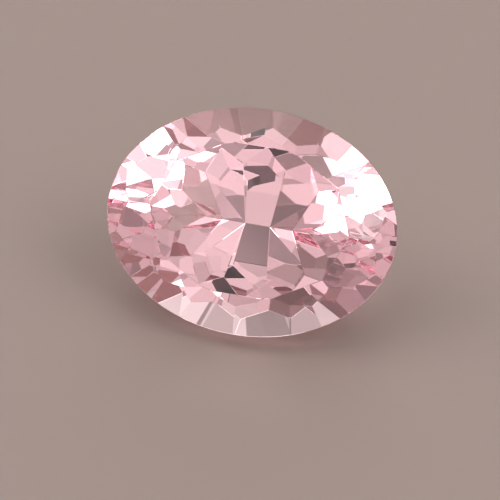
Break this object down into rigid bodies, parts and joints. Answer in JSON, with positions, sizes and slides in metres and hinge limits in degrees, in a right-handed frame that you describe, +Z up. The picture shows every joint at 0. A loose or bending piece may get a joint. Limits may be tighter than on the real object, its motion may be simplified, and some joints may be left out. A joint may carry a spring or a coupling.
{
  "type": "faceted oval morganite gemstone",
  "caption": "Loose oval brilliant-cut pink crystal with a flat table, thin girdle and keeled pavilion, to be set in jewellery.",
  "frame": {"origin": "bottom centre of the bounding box, on the surface that the stone lies on", "axes": "+X along the stone's length, +Z up; the table faces up and towards -Y"},
  "size_m": [0.018, 0.011, 0.0101],
  "materials": {
    "morganite": "clear pale pink beryl, polished facets, refractive index 1.58, faint pink absorption"
  },
  "bodies": {
    "root": {"gemstone": "morganite"}
  },
  "joints": []
}
